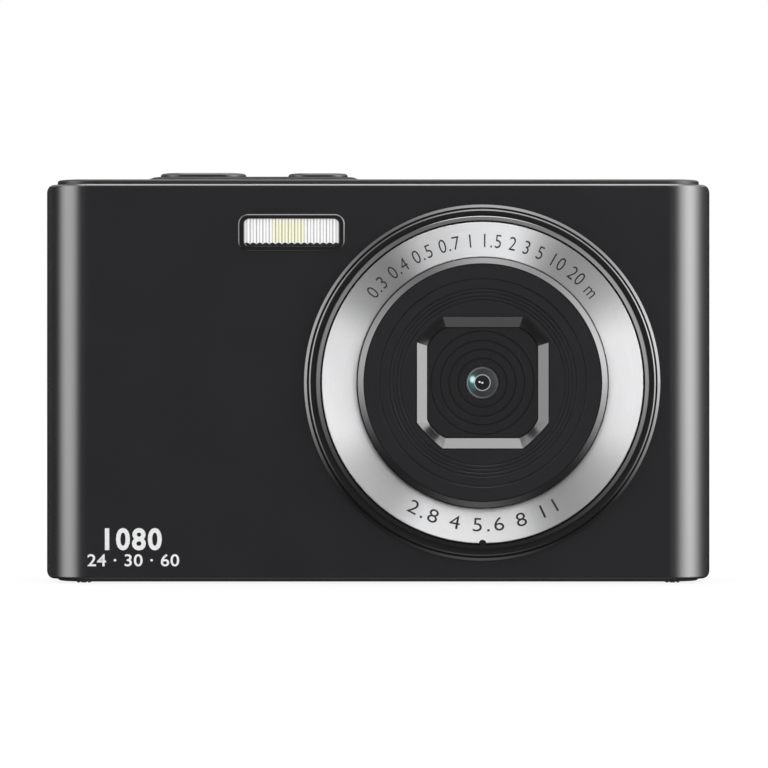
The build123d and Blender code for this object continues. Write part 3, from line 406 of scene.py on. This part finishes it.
looks = {
    "cover_black": moulded("cover_black", (0.0132, 0.0132, 0.0148), 0.19, grain=3000, depth=0.00008,
                           vary=0.03),
    "base_black": moulded("base_black", (0.013, 0.013, 0.0135), 0.4, grain=1900, depth=0.006,
                          shine_level=0.45),
    "top_black": moulded("top_black", (0.014, 0.014, 0.0147), 0.38, grain=3000, depth=0.0003, vary=0.05,
                         shine_level=0.45),
    "button_black": moulded("button_black", (0.014, 0.014, 0.0147), 0.3, grain=3400, depth=0.0003,
                            shine_level=0.54),
    "surround_black": moulded("surround_black", (0.012, 0.012, 0.0125), 0.1, grain=3000, depth=0.0002,
                              crevice=0.8),
    "spun_silver": spun("spun_silver", (0.45, 0.45, 0.456), 0.42, LENS_X, LENS_Z),
    "bright_rim": moulded("bright_rim", (0.015, 0.015, 0.0155), 0.13, grain=3000, depth=0.0003,
                          shine_level=1.0),
    "face_black": moulded("face_black", (0.0142, 0.0142, 0.0158), 0.18, depth=0.0003, vary=0.04),
    "panel_black": moulded("panel_black", (0.0142, 0.0142, 0.0158), 0.16, depth=0.0003, vary=0.04),
    "lens_glass": glass_look(),
    "barrel_black": moulded("barrel_black", (0.02, 0.02, 0.02), 0.4),
    "screen_glass": screen_glass_look(),
    "screen_black": display_look(),
    "lamp_clear": lamp_look(),
    "bright_trim": moulded("bright_trim", (0.8, 0.8, 0.81), 0.16, depth=0.0008, vary=0.04, metallic=1.0),
    "circuit_board": board_look(),
    "sensor_die": moulded("sensor_die", (0.05, 0.045, 0.08), 0.12, depth=0.0005),
    "steel": moulded("steel", (0.5, 0.5, 0.51), 0.3, depth=0.002, vary=0.08, metallic=1.0),
    "magnet_metal": moulded("magnet_metal", (0.6, 0.59, 0.57), 0.2, depth=0.001, vary=0.05, metallic=1.0),
    "copper_wire": moulded("copper_wire", (0.75, 0.33, 0.16), 0.28, depth=0.01, vary=0.2, metallic=1.0),
    "brass": moulded("brass", (0.75, 0.56, 0.25), 0.25, depth=0.002, vary=0.06, metallic=1.0),
    "rubber": moulded("rubber", (0.02, 0.02, 0.02), 0.65, grain=1500, depth=0.02),
    "silicone": moulded("silicone", (0.36, 0.37, 0.38), 0.55, depth=0.004, vary=0.05),
    "frame_plastic": moulded("frame_plastic", (0.04, 0.04, 0.042), 0.5, depth=0.01),
    "battery_wrap": battery_look(),
    "card_plastic": moulded("card_plastic", (0.02, 0.028, 0.06), 0.45, depth=0.006),
}
for part in frame["record"]["subparts"]:
    shown = nodes[part["node"]]
    shown.data.materials.clear()
    shown.data.materials.append(looks[part["material_slot"]])

ink_dark = printed("ink_dark", (0.012, 0.012, 0.013), 0.6)
ink_white = printed("ink_white", (0.86, 0.86, 0.86))
ink_grey = printed("ink_grey", (0.55, 0.56, 0.57))

# ---- printed marks ----
PROUD = 0.012 * MM                # ink stands this far above its face
INK = 2 * PROUD
TWIN = 1e-7                       # points closer than this are one point


def meshed(work, name):
    mesh = bpy.data.meshes.new(name)
    work.to_mesh(mesh)
    work.free()
    return mesh


def settled(mesh):
    """Joins doubled points and turns every face outwards, so that a mark is a closed solid."""
    work = bmesh.new()
    work.from_mesh(mesh)
    bmesh.ops.remove_doubles(work, verts=work.verts, dist=TWIN)
    bmesh.ops.recalc_face_normals(work, faces=work.faces)
    work.to_mesh(mesh)
    work.free()
    mesh.update()


def mark(name, mesh, material, body="camera_body"):
    piece = bpy.data.objects.new(name, mesh)
    bpy.context.scene.collection.objects.link(piece)
    settled(mesh)
    mesh.materials.clear()
    mesh.materials.append(material)
    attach(piece, body)
    return piece


def lettering(name, text, spacing, weight, detail=6):
    """A mesh of the built-in typeface, cap height 1, centred on x 0 with its baseline on y 0, INK deep."""
    curve = bpy.data.curves.new(name, "FONT")
    curve.body = text
    curve.size = 1.0
    curve.align_x = "CENTER"
    curve.space_character = spacing
    curve.offset = weight
    curve.resolution_u = detail
    curve.extrude = INK / 2
    holder = bpy.data.objects.new(name, curve)
    bpy.context.scene.collection.objects.link(holder)
    bpy.context.view_layer.update()
    mesh = bpy.data.meshes.new_from_object(holder.evaluated_get(bpy.context.evaluated_depsgraph_get()))
    bpy.data.objects.remove(holder)
    return mesh


def fitted(mesh, width, height):
    """Scales a flat mesh to a width and height, and centres it on x 0 with its lowest point on y 0."""
    xs = [v.co.x for v in mesh.vertices]
    ys = [v.co.y for v in mesh.vertices]
    scale_y = height / (max(ys) - min(ys))
    scale_x = width / (max(xs) - min(xs))
    middle, base = (max(xs) + min(xs)) / 2, min(ys)
    for v in mesh.vertices:
        v.co.x = (v.co.x - middle) * scale_x
        v.co.y = (v.co.y - base) * scale_y


def on_front(mesh, x, z, y):
    """Lays a flat mesh on a face towards -Y: its x stays, its y becomes z."""
    for v in mesh.vertices:
        v.co = Vector((x + v.co.x, y - v.co.z, z + v.co.y))


def on_back(mesh, x, z, y):
    """Lays a flat mesh on a face towards +Y, so that it reads correctly from behind."""
    for v in mesh.vertices:
        v.co = Vector((x - v.co.x, y + v.co.z, z + v.co.y))


def on_arc(mesh, radius, y, side):
    """Bends a flat mesh round the lens axis, its baseline on the radius given: side is 1 above, -1 below."""
    for v in mesh.vertices:
        turn = v.co.x / radius
        r = radius + side * v.co.y
        v.co = Vector((LENS_X + r * math.sin(turn), y - v.co.z, LENS_Z + side * r * math.cos(turn)))


# Scales round the silver ring: text, spacing, weight, baseline radius, half the angle they span, side
SCALE_HIGH = 2.02 * MM
SCALES = {
    "distance_scale": ("0.3 0.4 0.5 0.7 1 1.5 2 3 5 10 20 m", 1.12, -0.004, 20.07 * MM, 52, 1),
    "aperture_scale": ("2.8 4 5.6 8 11", 1.2, -0.002, 22.1 * MM, 31, -1),
}
for name, (text, spacing, weight, radius, half_turn, side) in SCALES.items():
    figures = lettering(name, text, spacing, weight)
    fitted(figures, 2 * math.radians(half_turn) * radius, SCALE_HIGH)
    on_arc(figures, radius, RING_FACE, side)
    mark(name, figures, ink_dark)

# Numerals at the lower left of the front: text, spacing, weight, detail, width, height, baseline
NUMERALS_X = -36.55 * MM
NUMERALS = {
    "front_numerals": ("1080", 1.14, 0.03, 4, 8.5 * MM, 3.35 * MM, 4.76 * MM),
    "front_numerals_small": ("24 · 30 · 60", 1.05, 0.012, 6, 13.7 * MM, 1.84 * MM, 2.37 * MM),
}
for name, (text, spacing, weight, detail, width, height, baseline) in NUMERALS.items():
    figures = lettering(name, text, spacing, weight, detail)
    fitted(figures, width, height)
    on_front(figures, NUMERALS_X, baseline, FRONT_FACE)
    mark(name, figures, ink_white)


def prism(work, outline, hole=None):
    """Adds a closed prism INK thick from a ring of points; a hole is a ring of as many points inside it."""
    rings = []
    for points in (outline, hole or []):
        rings.append([[work.verts.new((x * MM, y * MM, z)) for x, y in points] for z in (-PROUD, PROUD)])
    (low, high), (hole_low, hole_high) = rings
    count = len(low)
    if not hole:
        work.faces.new(low)
        work.faces.new(high)
    for i in range(count):
        j = (i + 1) % count
        work.faces.new((low[i], low[j], high[j], high[i]))
        if hole:
            work.faces.new((hole_low[i], hole_low[j], hole_high[j], hole_high[i]))
            work.faces.new((low[i], low[j], hole_low[j], hole_low[i]))
            work.faces.new((high[i], high[j], hole_high[j], hole_high[i]))


def flat_shape(name, shapes):
    """A mesh of prisms. Each shape is one ring of points, or a pair: a ring and the hole in it."""
    work = bmesh.new()
    for shape in shapes:
        prism(work, *(shape if isinstance(shape, tuple) else (shape,)))
    return meshed(work, name)


def bar(x0, x1, y0, y1):
    return [(x0, y0), (x1, y0), (x1, y1), (x0, y1)]


def disc(r, count=40):
    turns = [2 * math.pi * i / count for i in range(count)]
    return [(r * math.cos(turn), r * math.sin(turn)) for turn in turns]


def arrow(turns, size=0.95):
    """A triangle pointing up, turned anticlockwise by quarter turns."""
    points = [(0, size), (-size, -0.6 * size), (size, -0.6 * size)]
    for _ in range(turns):
        points = [(-y, x) for x, y in points]
    return points


# The keys' symbols, in mm from the middle of the key, as seen from behind
lid = [(-0.95, 0.62), (0.95, 0.62), (0.95, 0.86), (0.3, 0.86), (0.3, 1.05), (-0.3, 1.05), (-0.3, 0.86),
       (-0.95, 0.86)]
bin_body = [(-0.72, 0.46), (-0.55, -1.0), (0.55, -1.0), (0.72, 0.46)]
icons = {
    "up_key": [arrow(0)],
    "left_key": [arrow(1)],
    "down_key": [arrow(2)],
    "right_key": [arrow(3)],
    "menu_button": [bar(-1.0, 1.0, y - 0.14, y + 0.14) for y in (-0.6, 0.0, 0.6)],
    "mode_button": [(bar(-1.25, 1.25, -0.85, 0.85), bar(-0.98, 0.98, -0.58, 0.58)), disc(0.34)],
    "playback_button": [[(-0.75, 0.9), (-0.75, -0.9), (0.95, 0)]],
    "delete_button": [lid, bin_body],
    "ok_button": [(disc(1.0), disc(0.72))],
}
for key, shapes in icons.items():
    symbol = flat_shape(key + "_icon", shapes)
    on_back(symbol, *centre(key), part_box(key)[1][1])
    mark(key + "_icon", symbol, ink_grey, key)

# ---- soft pieces inside ----
SHEET = 0.48 * MM                             # thickness of the keypad's silicone sheet
DOME_FOOT_R, DOME_HEAD_R = 1.9 * MM, 1.3 * MM
DOME_SUNK = 0.6                               # part of the sheet's thickness left in front of a dome's foot
DOME_GAP = 0.05 * MM                          # between a dome and its key
PAD_REACH = 7.2 * MM                          # from the pad's centre to the dome under each of its keys
PAD_WAYS = {"up_key": (0, 1), "left_key": (1, 0), "down_key": (0, -1), "right_key": (-1, 0)}
ROCKER_REACH, ROCKER_DROP = 5.5 * MM, 0.35 * MM
sheet_low, sheet_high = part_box("keypad_membrane")


def soft_piece(name, mesh, node, material_slot):
    piece = mark(name, mesh, looks[material_slot])
    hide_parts(node)
    return piece


def block(name, low, high):
    """A box between two corners."""
    work = bmesh.new()
    bmesh.ops.create_cube(work, size=1.0)
    for v in work.verts:
        v.co = Vector([b if c > 0 else a for a, b, c in zip(low, high, v.co)])
    return meshed(work, name)


def dome(name, x, z, top):
    """A silicone cone standing on the keypad's sheet, pointing towards +Y."""
    foot = sheet_low[1] + DOME_SUNK * SHEET
    work = bmesh.new()
    bmesh.ops.create_cone(work, cap_ends=True, segments=32, radius1=DOME_FOOT_R, radius2=DOME_HEAD_R,
                          depth=top - foot)
    for v in work.verts:
        v.co = Vector((x + v.co.x, (foot + top) / 2 + v.co.z, z - v.co.y))
    return soft_piece(name, meshed(work, name), "keypad_membrane", "silicone")


coil = soft_piece("return_coil", nodes["shutter_spring"].data.copy(), "shutter_spring", "steel")
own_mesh(coil)

sheet_back = (sheet_high[0], sheet_low[1] + SHEET, sheet_high[2])
soft_piece("silicone_sheet", block("silicone_sheet", sheet_low, sheet_back), "keypad_membrane", "silicone")

for key in icons:
    x, z = centre(key)
    if key in PAD_WAYS:
        x, z = PAD_X + PAD_REACH * PAD_WAYS[key][0], PAD_Z + PAD_REACH * PAD_WAYS[key][1]
    made = dome(key + "_dome", x, z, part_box(key)[0][1] - DOME_GAP)
    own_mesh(made)

rocker_x, rocker_z = centre("zoom_rocker")
for name, side in (("rocker_dome_right", -1), ("rocker_dome_left", 1)):
    dome(name, rocker_x + side * ROCKER_REACH, rocker_z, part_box("menu_button")[0][1] - ROCKER_DROP)

# ---- room: a pale floor in a pale room, lit by soft boxes ----
FLOOR_REACH = 3
FLOOR_GLOW, FLOOR_GLOW_SHARE = 1.03, 0.86


def floor_look():
    """Nearly white and nearly even, and see-through from below."""
    look = Look("floor_white")
    tone = look.mix(look.spread(look.noise(6.0)), (0.95, 0.95, 0.95), (0.98, 0.98, 0.98))
    ground = look.node("BsdfDiffuse", Color=tone).outputs[0]
    glow = look.node("Emission", Color=(1, 1, 1), Strength=FLOOR_GLOW).outputs[0]
    top_side = look.either(FLOOR_GLOW_SHARE, ground, glow)
    below = look.node("NewGeometry").outputs["Backfacing"]
    return look.finish(look.either(below, top_side, look.see_through()))


floor_mesh = bpy.data.meshes.new("floor")
floor_corners = [(x * FLOOR_REACH, y * FLOOR_REACH, FLOOR_Z) for x, y in ((-1, -1), (1, -1), (1, 1), (-1, 1))]
floor_mesh.from_pydata(floor_corners, [], [(0, 1, 2, 3)])
floor_mesh.materials.append(floor_look())
floor = bpy.data.objects.new("floor", floor_mesh)
bpy.context.scene.collection.objects.link(floor)
floor.visible_glossy = False


def aim(clock, off_axis):
    """A direction from the object: off_axis degrees away from -Y, at a clock angle seen from the front."""
    clock, off_axis = math.radians(clock), math.radians(off_axis)
    return math.sin(off_axis) * math.cos(clock), -math.cos(off_axis), math.sin(off_axis) * math.sin(clock)


# The softboxes are lobes of the surrounding light: direction, brightness, width in degrees, and how
# sharp their edges are.
LOBES = (
    (aim(13, 61), 8.61, 20, 1),
    (aim(169, 56), 5.00, 18.5, 1.5),
    (aim(84, 60), 5.33, 18, 1),
    (aim(88, 100), 8.33, 13, 2),
    (aim(270, 70), 5.56, 12, 1),
    (aim(135, 74), 0.67, 13, 1),
    (aim(135, 87), 2.22, 10, 1),
    (aim(45, 88), 2.22, 10, 1),
    (aim(138, 38), 1.33, 10, 1),
    (aim(36, 36), 1.00, 9, 1),
    ((-0.6, 0.5, 0.62), 1.94, 13, 1),
    ((0.6, 0.5, 0.62), 2.50, 13, 1),
)
# The light between them is weaker straight behind the object. All of it is weaker below the object, and
# the softboxes fade out behind the camera.
AMBIENT, FAR_AMBIENT = 0.083, 0.017
FAR_START, FAR_END = -0.95, -0.6
LOW_START, LOW_END, LOW_LEFT = -0.68, -0.36, 0.15
DIP_START, DIP_FLOOR = 0.83, 0.05


class Sky(Look):
    """The surrounding light, made with the same calls as a material."""

    def __init__(self, world):
        self.mat = world
        self.start(world.node_tree, "OutputWorld", "Generated")

    def lobe(self, towards, bright, width, edge):
        facing = self.node("VectorMath", {"operation": "DOT_PRODUCT"})
        self.put(facing.inputs[0], self.place)
        facing.inputs[1].default_value = Vector(towards).normalized()
        narrow = 1 / math.radians(width) ** 2
        away = self.mul(self.sub(1.0, facing.outputs["Value"]), narrow)
        return self.mul(self.math("EXPONENT", self.mul(self.math("POWER", away, edge), -1.0)), bright)


world = bpy.data.worlds.new("studio")
bpy.context.scene.world = world
world.use_nodes = True
world.cycles.sampling_method = "NONE"
sky = Sky(world)
total = 0.0
for lobe in LOBES:
    total = sky.add(total, sky.lobe(*lobe))
front = sky.mul(sky.axis("Y"), -1.0)
total = sky.mul(total, sky.ramp(front, DIP_START, 1.0, 1.0, DIP_FLOOR))
weaker = sky.ramp(front, FAR_START, FAR_END, 1.0, 0.0, smooth=True)
total = sky.add(total, sky.sub(AMBIENT, sky.mul(weaker, AMBIENT - FAR_AMBIENT)))
total = sky.mul(total, sky.ramp(sky.axis("Z"), LOW_START, LOW_END, LOW_LEFT, 1.0, smooth=True))
# Seen directly, or lighting a matt surface, the room is plain white
path = sky.node("LightPath")
seen = sky.math("MAXIMUM", path.outputs["Is Camera Ray"], path.outputs["Is Transmission Ray"])
plain = sky.math("MAXIMUM", seen, path.outputs["Is Diffuse Ray"])
strength = sky.add(plain, sky.mul(sky.sub(1.0, plain), total))
sky.finish(sky.node("Background", Color=(1, 1, 1), Strength=strength).outputs[0])

# ---- camera ----
CAMERA_PLACE = (0.87 * MM, -560 * MM, 29.6 * MM)
SENSOR_WIDTH, FOCAL_LENGTH = 36.0, 172.7

scene = bpy.context.scene
scene.view_settings.view_transform = "Standard"
camera = bpy.data.objects.new("camera", bpy.data.cameras.new("camera"))
scene.collection.objects.link(camera)
camera.location = CAMERA_PLACE
camera.rotation_euler = (math.pi / 2, 0, 0)
camera.data.sensor_width = SENSOR_WIDTH
camera.data.lens = FOCAL_LENGTH
camera.data.clip_start = 0.01
scene.camera = camera
